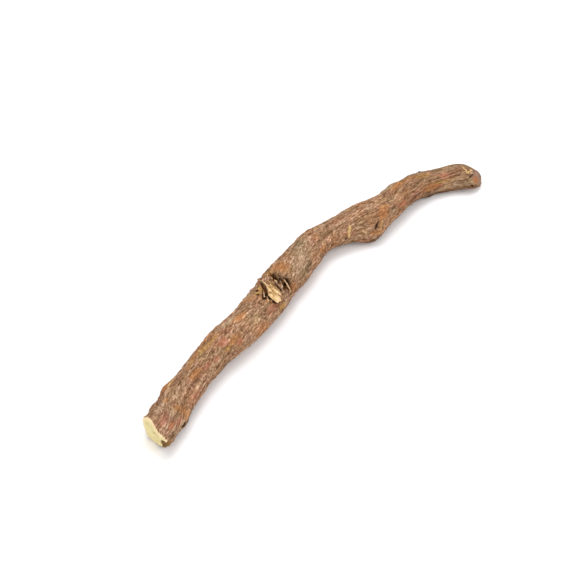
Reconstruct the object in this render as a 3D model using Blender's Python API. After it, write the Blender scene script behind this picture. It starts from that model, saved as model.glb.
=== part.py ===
"""A dried licorice root stick, lying on a flat surface.

One solid, as it grew: a gently bent root with wrinkled bark, a torn knot in the middle where a
shoot broke away, a knuckle with a slit scar further on, and two slanting cut ends.

Lengths below are in millimetres and angles in degrees. A place on the bark is given by the distance
along the root from its thick end, and by the angle round it: 0 is the top, 90 faces +Y and -90 faces -Y.
"""

import math

import bmesh
import bpy
import numpy as np
from mathutils import Vector, noise

MM = 0.001

# The bend of the root, seen from above, from the thick end to the thin end.
BEND = [
    (-89.4, -9.6),
    (-73.8, -4.4),
    (-51.8, 0.1),
    (-28.8, 1.5),
    (-9.8, 5.9),
    (1.2, 7.2),
    (12.2, 9.8),
    (20.2, 9.8),
    (31.2, 6.5),
    (46.2, 2.9),
    (60.2, 3.3),
    (73.2, -0.1),
    (87.4, -11.2),
]

# Radius of the root at a distance along it.
GIRTH = [
    (0.0, 5.7),
    (17.0, 5.3),
    (32.0, 5.1),
    (52.0, 6.0),
    (70.0, 6.1),
    (88.0, 6.3),
    (102.0, 5.8),
    (116.0, 5.1),
    (130.0, 5.6),
    (143.0, 5.2),
    (156.0, 4.7),
    (170.0, 4.4),
    (184.0, 4.9),
]

# How far the underside stands clear of the surface at a distance along the root. It falls below zero in
# three places, and what would lie under the surface there is pressed flat.
CLEARANCE = [
    (0.0, 0.5),
    (10.0, -0.3),
    (24.0, 0.4),
    (48.0, 1.1),
    (72.0, 0.2),
    (84.0, -0.35),
    (98.0, 0.3),
    (124.0, 1.6),
    (150.0, 0.8),
    (171.0, -0.3),
    (183.0, 0.4),
]
REST_SPOTS = (10.0, 84.0, 171.0)
REST_SPOT_REACH = 9.0

# The slant of the two cuts: how far the cut runs along the root for each millimetre sideways and upwards.
THICK_CUT = (0.59, -0.30)
THIN_CUT = (0.47, -0.28)
CUT_REACH = 15.0
THICK_RIM_ROUND = 0.7
THIN_RIM_ROUND = 1.9
CUT_ROUGHNESS = 0.16

# Lengthwise wrinkles of the bark.
WRINKLE_PITCH = 2.3
WRINKLE_STRETCH = 6.0
WRINKLE_DEPTH = 0.62
LUMP_SIZE = 17.0
LUMP_SHARE = 0.035

# Swellings and dents: distance along, angle round, half length, half angle, height.
SWELLINGS = [
    (0.0, 64.0, 3.0, 40.0, 0.5),
    (0.0, -75.0, 2.2, 26.0, -0.8),
    (7.0, -116.0, 1.5, 22.0, -0.6),
    (11.5, -116.0, 4.5, 45.0, 0.6),
    (40.0, 128.0, 2.6, 26.0, 0.7),
    (66.5, 60.0, 5.0, 42.0, 0.2),
    (74.0, 62.0, 1.3, 24.0, -0.5),
    (75.0, -120.0, 4.0, 32.0, 0.6),
    (102.0, 160.0, 3.0, 34.0, 0.6),
    (131.0, -118.0, 7.0, 50.0, 2.6),
    (146.5, 58.0, 4.0, 40.0, 0.5),
    (158.0, 62.0, 0.9, 10.0, 0.5),
    (163.0, -150.0, 3.0, 40.0, 0.4),
    (184.5, 50.0, 3.4, 55.0, -1.6),
]

# Features that run round the root. Each row is an angle, the distance along, and the half width there.
KNOT_HOLLOW = [
    (-94.0, 79.6, 0.6),
    (-80.0, 79.6, 2.2),
    (-62.0, 79.2, 3.2),
    (-45.0, 79.6, 3.2),
    (-20.0, 78.7, 2.2),
    (0.0, 78.2, 1.4),
    (14.0, 78.0, 0.6),
]
KNOT_HOLLOW_DEPTH = 2.3
TORN_LIP = [
    (-74.0, 72.4, 0.5),
    (-60.0, 71.9, 1.3),
    (-45.0, 71.4, 1.9),
    (-30.0, 71.3, 1.8),
    (-14.0, 71.7, 1.3),
    (6.0, 73.7, 1.0),
    (31.0, 76.3, 0.8),
    (54.0, 77.3, 0.6),
]
TORN_LIP_HEIGHT = 0.9
CLEFT = [
    (-68.0, 70.2, 0.5),
    (-45.0, 69.0, 0.9),
    (-26.0, 68.9, 1.0),
    (-12.0, 69.2, 1.1),
    (0.0, 70.9, 1.0),
    (25.0, 73.9, 0.9),
    (36.0, 75.0, 0.9),
    (66.0, 75.0, 0.8),
]
CLEFT_DEPTH = 1.4
SLIT_SCAR = [
    (-112.0, 132.4, 0.4),
    (-93.0, 132.6, 0.9),
    (-76.0, 133.2, 0.4),
]
SLIT_DEPTH = 1.2
SLIT_LIP = [
    (-114.0, 134.4, 0.6),
    (-95.0, 134.8, 1.2),
    (-72.0, 134.6, 0.6),
]
SLIT_LIP_HEIGHT = 0.6
SLIVER_SCAR = [
    (-82.0, 119.5, 0.5),
    (-60.0, 120.2, 0.8),
    (-40.0, 121.0, 0.5),
]
SLIVER_HEIGHT = 0.45

# How finely the solid is cut: points round it, and the spacing of its rings along it.
ROUND = 56
PLAIN_SPACING = 2.25
KNOT_SPACING = 0.85
KNOT_ZONE = (68.0, 84.0)
END_SPACING = 0.9
END_ZONE = 3.0
CUT_FACE_SHARES = (0.93, 0.72, 0.45, 0.2)

BARK_COLOUR = (0.33, 0.19, 0.11, 1.0)
BARK_ROUGHNESS = 0.85


def clear_scene():
    for obj in list(bpy.data.objects):
        bpy.data.objects.remove(obj, do_unlink=True)


def smooth_step(value):
    value = min(1.0, max(0.0, value))
    return value * value * (3.0 - 2.0 * value)


def along_table(rows, distance):
    """Reads a table of (distance, value) with an eased curve between its rows."""
    for (start, low), (end, high) in zip(rows, rows[1:]):
        if distance <= end:
            return low + (high - low) * smooth_step((distance - start) / (end - start))
    return rows[-1][1]


def bend_curve(steps=48):
    """Points along a smooth curve through BEND, and the distance along it of each."""
    ends = [2 * np.array(BEND[0]) - BEND[1], 2 * np.array(BEND[-1]) - BEND[-2]]
    knots = np.array([ends[0], *BEND, ends[1]])
    points = []
    for before, start, end, after in zip(knots, knots[1:], knots[2:], knots[3:]):
        for t in np.arange(steps) / steps:
            pull = (end - before) * t
            turn = (2 * before - 5 * start + 4 * end - after) * t**2
            twist = (3 * start - before - 3 * end + after) * t**3
            points.append(start + 0.5 * (pull + turn + twist))
    points.append(knots[-2])
    points = np.array(points)
    spans = np.linalg.norm(np.diff(points, axis=0), axis=1)
    return points, np.concatenate([[0.0], np.cumsum(spans)])


BEND_POINTS, BEND_DISTANCES = bend_curve()
LENGTH = float(BEND_DISTANCES[-1])


def centre(distance):
    """The middle of the root at a distance along it; past an end it goes straight on."""
    inside = min(LENGTH, max(0.0, distance))
    x = float(np.interp(inside, BEND_DISTANCES, BEND_POINTS[:, 0]))
    y = float(np.interp(inside, BEND_DISTANCES, BEND_POINTS[:, 1]))
    return Vector((x, y, along_table(GIRTH, inside) + along_table(CLEARANCE, inside)))


def frame_at(distance):
    """The middle of the root, and the directions along it, towards +Y and up."""
    reach = 1.5
    low = max(0.0, min(LENGTH - 2 * reach, distance - reach))
    forward = (centre(low + 2 * reach) - centre(low)).normalized()
    side = Vector((0, 0, 1)).cross(forward).normalized()
    inside = min(LENGTH, max(0.0, distance))
    middle = centre(inside) + forward * (distance - inside)
    return middle, forward, side, forward.cross(side)


def turn_between(angle, other):
    """The smaller turn from one angle to another, in degrees."""
    return (angle - other + 180.0) % 360.0 - 180.0


def swelling(distance, angle):
    total = 0.0
    for place, face, length, width, height in SWELLINGS:
        off = ((distance - place) / length) ** 2 + (turn_between(angle, face) / width) ** 2
        total += height * math.exp(-off)
    return total


def band(rows, distance, angle):
    """1 in the middle of a feature that runs round the root, easing to 0 at its edges and tips."""
    if not rows[0][0] < angle < rows[-1][0]:
        return 0.0
    angles, places, widths = zip(*rows)
    place = np.interp(angle, angles, places)
    width = np.interp(angle, angles, widths)
    return smooth_step(1.3 * (1.0 - abs(distance - place) / width))


def pattern_point(distance, angle, pitch, stretch):
    """A point of the unbent root, scaled so that a noise of size 1 repeats at the pitch given."""
    turn = math.radians(angle)
    around = 5.6 / pitch
    return Vector((math.cos(turn) * around, math.sin(turn) * around, distance / (pitch * stretch)))


def wrinkles(distance, angle):
    """Broad folds along the root with narrow furrows between them."""
    at = pattern_point(distance, angle, WRINKLE_PITCH, WRINKLE_STRETCH)
    sway = noise.noise(at * 0.6 + Vector((7.0, 3.0, 1.0))) * 0.7
    fold = abs(noise.noise(at + Vector((sway, -sway, 0.0))))
    return min(1.0, fold * 2.4) ** 0.7 - 0.62


def resting(distance, angle):
    """1 under a rest spot, where the bark is rubbed smooth, and 0 away from it."""
    nearest = min(abs(distance - spot) for spot in REST_SPOTS)
    under = smooth_step((abs(turn_between(angle, 0.0)) - 130.0) / 30.0)
    return under * smooth_step(2.0 * (1.0 - nearest / REST_SPOT_REACH))


def radius(distance, angle):
    """From the middle of the root to its bark."""
    girth = along_table(GIRTH, distance)
    lump = noise.noise(pattern_point(distance, angle, LUMP_SIZE, 1.0) + Vector((2.0, 5.0, 9.0)))
    hollow = band(KNOT_HOLLOW, distance, angle)
    lip = band(TORN_LIP, distance, angle)
    cleft = band(CLEFT, distance, angle)
    quiet = 1.0 - max(hollow, lip, resting(distance, angle))
    return (
        girth * (1.0 + 2.0 * LUMP_SHARE * lump)
        + WRINKLE_DEPTH * wrinkles(distance, angle) * quiet
        + swelling(distance, angle)
        - KNOT_HOLLOW_DEPTH * hollow
        + TORN_LIP_HEIGHT * lip
        - CLEFT_DEPTH * cleft
        - SLIT_DEPTH * band(SLIT_SCAR, distance, angle)
        + SLIT_LIP_HEIGHT * band(SLIT_LIP, distance, angle)
        + SLIVER_HEIGHT * band(SLIVER_SCAR, distance, angle)
    )


def rim_round(from_end, size):
    """How much narrower the root is close to a cut, where its rim is worn round."""
    worn = min(1.0, max(0.0, 1.0 - from_end / size))
    return size * (1.0 - math.sqrt(1.0 - worn**2))


def place_point(distance, angle, share):
    """A point of the solid. share is 1 on the bark and falls to 0 at the middle of a cut face."""
    turn = math.radians(angle)
    from_thin = LENGTH - distance
    size = radius(distance, angle)
    size -= rim_round(distance, THICK_RIM_ROUND) + rim_round(from_thin, THIN_RIM_ROUND)
    size *= share
    sideways, upwards = size * math.sin(turn), size * math.cos(turn)
    shift = 0.0
    for cut, from_cut in ((THICK_CUT, distance), (THIN_CUT, from_thin)):
        slant = cut[0] * sideways + cut[1] * upwards
        shift += slant * smooth_step(1.0 - from_cut / CUT_REACH)
    if share < 1.0:
        grain = noise.noise(Vector((sideways * 0.9, upwards * 0.9, distance)))
        shift += CUT_ROUGHNESS * grain * (1.0 - share**6)
    middle, forward, side, up = frame_at(distance + shift)
    point = middle + side * sideways + up * upwards
    point.z = max(0.0, point.z)
    return point * MM


def ring_places():
    """Distances along the root of the solid's rings, closer at the knot and the ends."""
    places = [0.0]
    while places[-1] < LENGTH:
        here = places[-1]
        if KNOT_ZONE[0] <= here <= KNOT_ZONE[1]:
            spacing = KNOT_SPACING
        elif here < END_ZONE or here > LENGTH - END_ZONE - PLAIN_SPACING:
            spacing = END_SPACING
        else:
            spacing = PLAIN_SPACING
        places.append(here + spacing)
    scale = LENGTH / places[-1]
    return [place * scale for place in places]


def new_ring(bm, edges):
    """Extrudes a ring of edges and returns the new ring's points and edges."""
    grown = bmesh.ops.extrude_edge_only(bm, edges=edges)["geom"]
    points = [item for item in grown if isinstance(item, bmesh.types.BMVert)]
    fresh = set(points)
    ring = [item for item in grown if isinstance(item, bmesh.types.BMEdge) and fresh.issuperset(item.verts)]
    return points, ring


def close_cut(bm, ring, distance):
    """Carries the end ring inwards across the cut face and closes it at the middle."""
    share = 1.0
    for next_share in CUT_FACE_SHARES:
        points, ring = new_ring(bm, ring)
        for point in points:
            point.co.x *= next_share / share
            point.co.y *= next_share / share
            point.co.z = distance
        share = next_share
    bmesh.ops.edgeloop_fill(bm, edges=ring)
    middle = [face for face in bm.faces if len(face.verts) == ROUND]
    bmesh.ops.poke(bm, faces=middle)


def straight_root():
    """The root before it is bent: a tube of radius 1 along Z, with rings at ring_places."""
    bm = bmesh.new()
    bmesh.ops.create_circle(bm, segments=ROUND, radius=1.0)
    first = list(bm.edges)
    places = ring_places()
    ring = first
    for place in places[1:]:
        points, ring = new_ring(bm, ring)
        for point in points:
            point.co.z = place
    close_cut(bm, first, 0.0)
    close_cut(bm, ring, LENGTH)
    bmesh.ops.recalc_face_normals(bm, faces=bm.faces)
    return bm


def grow_root():
    bm = straight_root()
    for point in bm.verts:
        x, y, distance = point.co
        angle = math.degrees(math.atan2(-y, x))
        share = min(1.0, math.hypot(x, y))
        share = 1.0 if share > 0.999 else share
        point.co = place_point(distance, angle, share)
    mesh = bpy.data.meshes.new("licorice_root")
    bm.to_mesh(mesh)
    bm.free()
    mesh.shade_smooth()
    return mesh


def bark_material():
    material = bpy.data.materials.new("root_bark")
    material.use_nodes = True
    shader = material.node_tree.nodes["Principled BSDF"]
    shader.inputs["Base Color"].default_value = BARK_COLOUR
    shader.inputs["Roughness"].default_value = BARK_ROUGHNESS
    shader.inputs["Metallic"].default_value = 0.0
    return material


def main():
    clear_scene()
    root = bpy.data.objects.new("licorice_root", grow_root())
    root.data.materials.append(bark_material())
    bpy.context.scene.collection.objects.link(root)


main()
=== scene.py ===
"""A dried licorice root stick lying by itself on a pale floor, in soft studio light.

Lengths are in millimetres and angles in degrees until a point is placed. A place on the bark is given by
the distance along the root from its thick end and by the angle round it: 0 is the top and 90 faces +Y.
"""

import math

import bmesh
import bpy
import numpy as np
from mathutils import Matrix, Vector, noise


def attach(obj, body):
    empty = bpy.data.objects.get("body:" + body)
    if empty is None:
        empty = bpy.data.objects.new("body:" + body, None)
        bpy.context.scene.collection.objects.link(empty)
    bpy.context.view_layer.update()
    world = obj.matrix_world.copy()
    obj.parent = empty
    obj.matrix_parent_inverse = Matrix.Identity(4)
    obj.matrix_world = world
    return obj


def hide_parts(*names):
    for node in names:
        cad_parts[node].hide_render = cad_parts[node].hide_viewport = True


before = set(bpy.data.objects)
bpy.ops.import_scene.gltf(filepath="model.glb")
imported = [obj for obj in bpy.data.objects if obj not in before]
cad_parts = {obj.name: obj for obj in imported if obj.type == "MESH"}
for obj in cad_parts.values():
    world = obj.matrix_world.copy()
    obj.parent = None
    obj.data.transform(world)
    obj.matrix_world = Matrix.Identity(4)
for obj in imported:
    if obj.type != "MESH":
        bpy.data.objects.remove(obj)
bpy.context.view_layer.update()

# The root
# One grown stick of wood under thin, dry, wrinkled bark, sawn off aslant at the thick end and worn round
# at the thin end. A side shoot was torn out of its middle. It is a sleeve of fine quads, wrapped along the
# bend, pushed in and out by the relief of its bark and closed by two cut faces.

MM = 0.001
SEAM_GAP = 0.0001 * MM

# The bend from above, then the radius and the clearance below at distances along the root.
BEND = [
    (-89.4, -9.6),
    (-73.8, -4.4),
    (-51.8, 0.1),
    (-28.8, 1.5),
    (-9.8, 5.9),
    (1.2, 7.2),
    (12.2, 9.8),
    (20.2, 9.8),
    (31.2, 6.5),
    (46.2, 2.9),
    (60.2, 3.3),
    (73.2, -0.1),
    (87.4, -11.2),
]
GIRTH = [
    (0.0, 5.7),
    (17.0, 5.3),
    (32.0, 5.1),
    (52.0, 6.0),
    (70.0, 6.1),
    (88.0, 6.3),
    (102.0, 5.8),
    (116.0, 5.1),
    (130.0, 5.6),
    (143.0, 5.2),
    (156.0, 4.7),
    (170.0, 4.4),
    (184.0, 4.9),
]
CLEARANCE = [
    (0.0, 0.5),
    (10.0, -0.3),
    (24.0, 0.4),
    (48.0, 1.1),
    (72.0, 0.2),
    (84.0, -0.35),
    (98.0, 0.3),
    (124.0, 1.6),
    (150.0, 0.8),
    (171.0, -0.3),
    (183.0, 0.4),
]
REST_SPOTS = (10.0, 84.0, 171.0)
REST_SPOT_REACH = 9.0
UNDERSIDE_START = 130.0
UNDERSIDE_BLEND = 30.0

# The slants of the two cuts, how far they reach, and the rounding of their rims.
THICK_CUT = (0.59, -0.30)
THIN_CUT = (0.42, -0.62)
THIN_CUT_BACK = 1.1
NEAR_CUT_WAVES = [(-30.0, 28.0, -1.8), (24.0, 20.0, 0.5)]
NEAR_WAVE_REACH = 5.0
CUT_REACH = 15.0
THICK_RIM_ROUND = 0.7
THIN_RIM_ROUND = 1.9

# Swellings and dents: distance along, angle round, half length, half angle, height.
LUMP_SIZE = 17.0
LUMP_SHARE = 0.07
SWELLINGS = [
    (0.0, 64.0, 3.0, 40.0, 0.5),
    (0.0, -75.0, 2.2, 26.0, -0.8),
    (0.0, 138.0, 5.0, 30.0, 1.1),
    (0.0, -128.0, 3.5, 30.0, -1.2),
    (7.0, -116.0, 1.5, 22.0, -0.4),
    (9.3, -114.0, 0.9, 14.0, -0.5),
    (12.2, -116.0, 3.8, 45.0, 1.15),
    (7.5, 68.0, 2.8, 28.0, 0.7),
    (18.4, 70.0, 3.3, 28.0, 1.15),
    (40.0, 128.0, 2.6, 26.0, 0.7),
    (66.5, 60.0, 5.0, 42.0, 0.2),
    (74.0, 62.0, 1.3, 24.0, -0.5),
    (75.0, -120.0, 4.0, 32.0, 0.6),
    (102.0, 160.0, 3.0, 34.0, 0.6),
    (131.0, -118.0, 7.0, 50.0, 2.6),
    (127.5, -128.0, 5.0, 26.0, 1.1),
    (146.5, 58.0, 4.0, 40.0, 0.5),
    (158.0, 62.0, 0.9, 10.0, 0.5),
    (162.6, 44.0, 0.7, 8.0, 0.5),
    (163.0, -150.0, 3.0, 40.0, 0.4),
    (174.5, 46.0, 3.0, 34.0, 0.45),
    (180.0, 44.0, 3.2, 38.0, 0.15),
    (184.5, 92.0, 2.6, 38.0, -1.7),
    (184.5, 26.0, 2.6, 50.0, -3.6),
    (183.0, -124.0, 5.0, 36.0, 0.7),
]

# Scars that run round the root: angle round, distance along, half width.
KNOT_HOLLOW = [
    (-94.0, 79.0, 0.6),
    (-80.0, 79.0, 2.0),
    (-62.0, 78.9, 3.2),
    (-45.0, 79.0, 3.2),
    (-20.0, 77.9, 2.2),
    (0.0, 77.7, 1.7),
    (14.0, 78.6, 1.2),
    (22.0, 79.6, 0.3),
]
KNOT_HOLLOW_DEPTH = 2.3
KNOT_HOLLOW_STEEPNESS = 1.4
CRATER_WALL_WIDTH = 0.8
CRATER_WALL = [
    (-94.0, 81.6),
    (-60.0, 82.3),
    (-44.0, 81.7),
    (-30.0, 80.3),
    (-20.0, 79.2),
    (0.0, 79.6),
    (20.0, 80.8),
]
TORN_LIP = [
    (-74.0, 72.4, 0.5),
    (-60.0, 71.9, 1.3),
    (-45.0, 71.4, 1.9),
    (-30.0, 71.3, 1.8),
    (-14.0, 71.7, 1.3),
    (6.0, 73.7, 1.0),
    (31.0, 75.7, 0.6),
    (40.0, 76.0, 0.35),
    (48.0, 76.2, 0.1),
]
TORN_LIP_HEIGHT = 0.9
CLEFT = [
    (-62.0, 69.9, 0.3),
    (-45.0, 69.0, 0.9),
    (-26.0, 68.9, 1.0),
    (-12.0, 69.2, 1.1),
    (0.0, 70.9, 1.0),
    (25.0, 73.9, 0.9),
    (36.0, 75.0, 0.9),
    (66.0, 75.0, 0.8),
]
CLEFT_DEPTH = 1.4
SLIT_SCAR = [
    (-93.0, 129.4, 0.25),
    (-87.0, 129.9, 0.65),
    (-81.0, 130.5, 0.6),
    (-75.5, 131.1, 0.2),
]
SLIT_DEPTH = 1.4
SLIT_LIP = [
    (-104.0, 130.0, 0.5),
    (-96.0, 130.5, 0.95),
    (-88.0, 131.2, 1.1),
    (-80.0, 131.8, 1.1),
    (-71.0, 132.4, 0.4),
]
SLIT_LIP_HEIGHT = 0.8
SLIVER_SCAR = [
    (-90.0, 119.3, 0.3),
    (-84.0, 119.6, 0.8),
    (-78.0, 119.9, 0.5),
    (-66.0, 120.3, 1.0),
    (-54.0, 120.7, 0.7),
    (-47.0, 120.9, 0.2),
]
SLIVER_HEIGHT = 0.45
LEFT_GROOVE = [
    (-22.0, 66.9, 0.3),
    (-17.0, 66.9, 0.8),
    (-11.0, 67.1, 0.6),
    (-4.0, 68.1, 0.5),
    (4.0, 69.9, 0.5),
    (9.0, 71.0, 0.1),
]
RIGHT_GROOVE = [
    (-22.0, 66.9, 0.3),
    (-16.0, 68.3, 0.7),
    (-12.0, 69.7, 0.6),
    (-8.0, 70.5, 0.6),
    (-4.0, 71.2, 0.5),
    (8.0, 73.0, 0.1),
]
TORN_GROOVE = [
    (-46.0, 67.3, 0.2),
    (-41.0, 67.3, 0.5),
    (-32.0, 67.6, 0.45),
    (-24.0, 68.2, 0.4),
    (-20.0, 68.6, 0.1),
]
GROOVE_DEPTH = 0.6
PALE_CHIP = [
    (-15.0, 67.6, 0.2),
    (-10.0, 68.5, 0.6),
    (-6.0, 69.3, 0.55),
    (-2.0, 70.1, 0.1),
]
LEFT_SCRATCH = [
    (-46.0, 183.7, 0.2),
    (-38.0, 183.4, 0.34),
    (-22.0, 182.8, 0.36),
    (-4.0, 181.9, 0.34),
    (8.0, 181.4, 0.12),
]
RIGHT_SCRATCH = [
    (-44.0, 183.7, 0.2),
    (-36.0, 183.85, 0.34),
    (-20.0, 184.0, 0.32),
    (2.0, 183.9, 0.28),
    (24.0, 183.7, 0.1),
]

# Where the bark's lines are longest, and its small holes, in the columns of SWELLINGS but with a strength.
LONG_LINES = [
    (51.0, -80.0, 6.0, 16.0, 1.0),
    (50.5, 12.0, 4.0, 10.0, 1.0),
    (22.0, -60.0, 8.0, 18.0, 0.8),
    (95.0, -50.0, 8.0, 20.0, 0.7),
    (118.0, -20.0, 9.0, 26.0, 0.7),
    (168.0, -30.0, 16.0, 44.0, 1.0),
    (100.0, 120.0, 30.0, 50.0, 0.8),
]
PIT_DEPTH = 0.8
DEEPEST_PIT = 1.2
PITS = [
    (79.3, 8.5, 0.33, 3.4, 1.3),
    (78.8, -3.5, 0.36, 3.6, 1.3),
    (79.75, -10.0, 0.2, 2.5, 0.7),
    (77.2, -8.0, 0.45, 4.0, 1.2),
    (77.3, -22.0, 0.5, 6.0, 1.2),
    (77.7, -33.0, 0.45, 5.0, 1.2),
    (79.4, -20.0, 0.35, 6.0, 0.8),
    (80.6, -30.0, 0.35, 7.0, 0.9),
    (79.2, -46.0, 0.6, 6.0, 1.2),
    (81.1, -43.0, 0.5, 7.0, 1.0),
    (80.6, -54.0, 0.7, 8.0, 1.2),
    (78.2, -58.0, 0.6, 5.0, 1.2),
    (76.3, -50.0, 0.5, 6.0, 1.3),
    (75.1, -19.0, 0.35, 6.0, 1.1),
    (74.6, -29.0, 0.4, 6.0, 1.2),
    (74.5, -41.0, 0.35, 6.0, 1.1),
    (77.4, -78.0, 0.4, 4.0, 0.8),
]

# The bark's wrinkles and its finer net, the torn wood, and the stretch where the bark gets smoother.
MEAN_RADIUS = 5.6
WRINKLE_PITCH = 2.3
WRINKLE_STRETCH = 6.0
WRINKLE_DEPTH = 0.62
WRINKLE_SWAY = 0.7
WRINKLE_SHARPNESS = 2.4
WRINKLE_FULLNESS = 0.7
WRINKLE_MIDDLE = 0.62
NET_PITCH = 1.45
NET_STRETCH = 2.3
NET_SHARPNESS = 6.0
NET_DEPTH = 0.34
NET_MIDDLE = 0.4
SMOOTH_START = 128.0
SMOOTH_REACH = 24.0
SMOOTH_SHARE = 0.08
SMOOTH_STRETCH = 1.8
TWIST = 1.0
DRIFT_PITCH = 14.0
DRIFT_STRETCH = 1.6
DRIFT_ANGLE = 16.0
TORN_PITCH = 0.8
TORN_STRETCH = 5.0
TORN_DEPTH = 0.9

# The quads round and along the sleeve, and the stretches with more rings: start, end, times as many.
ROUND = 204
RINGS = 452
FINE_ZONES = [(0.0, 3.0, 2.2), (66.0, 84.5, 2.0), (178.5, 184.5, 2.2)]
FINE_ZONE_BLEND = 2.0


def eased(value):
    """Runs from 0 to 1 with a soft start and a soft end."""
    value = np.clip(value, 0.0, 1.0)
    return value * value * (3.0 - 2.0 * value)


def table(rows, at):
    """Reads a table of (distance, value) with an eased curve between its rows."""
    places, values = np.array(rows).T
    row = np.clip(np.searchsorted(places, at) - 1, 0, len(places) - 2)
    share = eased((at - places[row]) / (places[row + 1] - places[row]))
    return values[row] + (values[row + 1] - values[row]) * share


def bend_curve(steps=48):
    """Points along a smooth curve through BEND, and the distance along it of each."""
    ends = [2 * np.array(BEND[0]) - BEND[1], 2 * np.array(BEND[-1]) - BEND[-2]]
    knots = np.array([ends[0], *BEND, ends[1]])
    points = []
    for before, start, end, after in zip(knots, knots[1:], knots[2:], knots[3:]):
        for t in np.arange(steps) / steps:
            pull = (end - before) * t
            turn = (2 * before - 5 * start + 4 * end - after) * t**2
            twist = (3 * start - before - 3 * end + after) * t**3
            points.append(start + 0.5 * (pull + turn + twist))
    points.append(knots[-2])
    points = np.array(points)
    spans = np.linalg.norm(np.diff(points, axis=0), axis=1)
    return points, np.concatenate([[0.0], np.cumsum(spans)])


BEND_POINTS, BEND_DISTANCES = bend_curve()
LENGTH = float(BEND_DISTANCES[-1])


def centre(at):
    """The middle of the root."""
    inside = np.clip(at, 0.0, LENGTH)
    x = np.interp(inside, BEND_DISTANCES, BEND_POINTS[:, 0])
    y = np.interp(inside, BEND_DISTANCES, BEND_POINTS[:, 1])
    return np.stack([x, y, table(GIRTH, inside) + table(CLEARANCE, inside)], axis=-1)


def unit(vectors):
    return vectors / np.linalg.norm(vectors, axis=-1, keepdims=True)


def bent(at, sideways, upwards):
    """Where a point of the straight root comes to lie once the root is bent."""
    reach = 1.5
    low = np.clip(at - reach, 0.0, LENGTH - 2 * reach)
    forward = unit(centre(low + 2 * reach) - centre(low))
    side = unit(np.cross([0.0, 0.0, 1.0], forward))
    up = np.cross(forward, side)
    past = (at - np.clip(at, 0.0, LENGTH))[..., None]
    return centre(at) + forward * past + side * sideways[..., None] + up * upwards[..., None]


def turn_between(angle, other):
    """The shorter way round from one angle to another."""
    return (angle - other + 180.0) % 360.0 - 180.0


def spots(rows, at, angle):
    """Soft round spots: distance along, angle round, half length, half angle, strength."""
    total = np.zeros_like(at)
    for place, face, length, width, strength in rows:
        off = ((at - place) / length) ** 2 + (turn_between(angle, face) / width) ** 2
        total += strength * np.exp(-off)
    return total


def band(rows, at, angle):
    """1 in the middle of a feature that runs round the root, easing to 0 at its edges and tips."""
    angles, places, widths = np.array(rows).T
    off = np.abs(at - np.interp(angle, angles, places)) / np.interp(angle, angles, widths)
    return eased(1.3 * (1.0 - off)) * ((angle > angles[0]) & (angle < angles[-1]))


def points_of(x, y, z):
    """Points from their three coordinates, any of which may be one number for all."""
    return np.stack(np.broadcast_arrays(x, y, z), axis=-1)


def pattern(at, angle, pitch, stretch):
    """A point of the unbent root, scaled so that a noise of size 1 repeats at the pitch given."""
    turn = np.radians(angle)
    around = MEAN_RADIUS / pitch
    return points_of(np.cos(turn) * around, np.sin(turn) * around, at / (pitch * stretch))


def noise_at(points):
    return np.array([noise.noise(point) for point in points.tolist()])


def wrinkles(at, angle):
    """Long wrinkles that sway along the root: furrows below 0 with rounded bark between them."""
    spot = pattern(at, angle, WRINKLE_PITCH, WRINKLE_STRETCH)
    sway = noise_at(spot * 0.6 + (7.0, 3.0, 1.0)) * WRINKLE_SWAY
    spot[:, 0] += sway
    spot[:, 1] -= sway
    fold = np.minimum(1.0, np.abs(noise_at(spot)) * WRINKLE_SHARPNESS)
    return fold**WRINKLE_FULLNESS - WRINKLE_MIDDLE


def crests_at(points, sharpness):
    """1 on thin lines that run together and part again, falling to 0 between them."""
    return 1.0 - np.minimum(1.0, np.abs(noise_at(points)) * sharpness)


def leaning(at, angle):
    """The angle round the root at which the bark's lines began, as they wind and wander along it."""
    drift = noise_at(pattern(at, angle, DRIFT_PITCH, DRIFT_STRETCH) + (4.0, 8.0, 2.0))
    return angle - TWIST * at + drift * DRIFT_ANGLE


def drawn_out(at):
    """The distance along the root, slowed down where the bark is smoother, to draw its lines out."""
    past = np.maximum(0.0, at - SMOOTH_START)
    slow = np.where(past < SMOOTH_REACH, past**2 / (2.0 * SMOOTH_REACH), past - SMOOTH_REACH / 2.0)
    return at - (1.0 - 1.0 / SMOOTH_STRETCH) * slow


def bark_net(at, lines):
    """The net of short fine ridges that covers the bark: 0 in its furrows and 1 on its crests."""
    coarse = pattern(drawn_out(at), lines, NET_PITCH, NET_STRETCH)
    wave = noise_at(coarse * 0.8 + (3.0, 1.0, 6.0))[:, None]
    broken = np.clip(0.75 + 1.2 * noise_at(coarse * (0.8, 0.8, 1.6) + (1.0, 9.0, 4.0)), 0.0, 1.0)
    crest = crests_at(coarse + wave * (0.5, -0.5, 0.4), NET_SHARPNESS) * broken
    second = crests_at(coarse * 1.45 + (5.0, 2.0, 8.0) - wave * 0.5, NET_SHARPNESS * 0.8)
    return np.clip(0.75 * crest + 0.5 * second * (1.3 - broken), 0.0, 1.0)


def resting(at, angle):
    """1 under the three spots on which the root lies, where its bark is pressed flat."""
    nearest = np.min([np.abs(at - spot) for spot in REST_SPOTS], axis=0)
    under = eased((np.abs(turn_between(angle, 0.0)) - UNDERSIDE_START) / UNDERSIDE_BLEND)
    return under * eased(2.0 * (1.0 - nearest / REST_SPOT_REACH))


def plain_radius(at, angle):
    """From the middle of the root to its bark, without wrinkles, scars or the knot."""
    lump = noise_at(pattern(at, angle, LUMP_SIZE, 1.0) + (2.0, 5.0, 9.0))
    return table(GIRTH, at) * (1.0 + LUMP_SHARE * lump) + spots(SWELLINGS, at, angle)


def torn_grain(at, angle):
    """Splintery ridges of the torn wood. They run round the root, the way the shoot was pulled."""
    turn = np.radians(angle) * 6.0 / TORN_STRETCH
    spot = points_of(at / TORN_PITCH + 0.4 * turn, turn, 0.0)
    return noise_at(spot + (0.0, 0.0, 3.7)) + 0.5 * noise_at(spot * 2.3)


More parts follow.
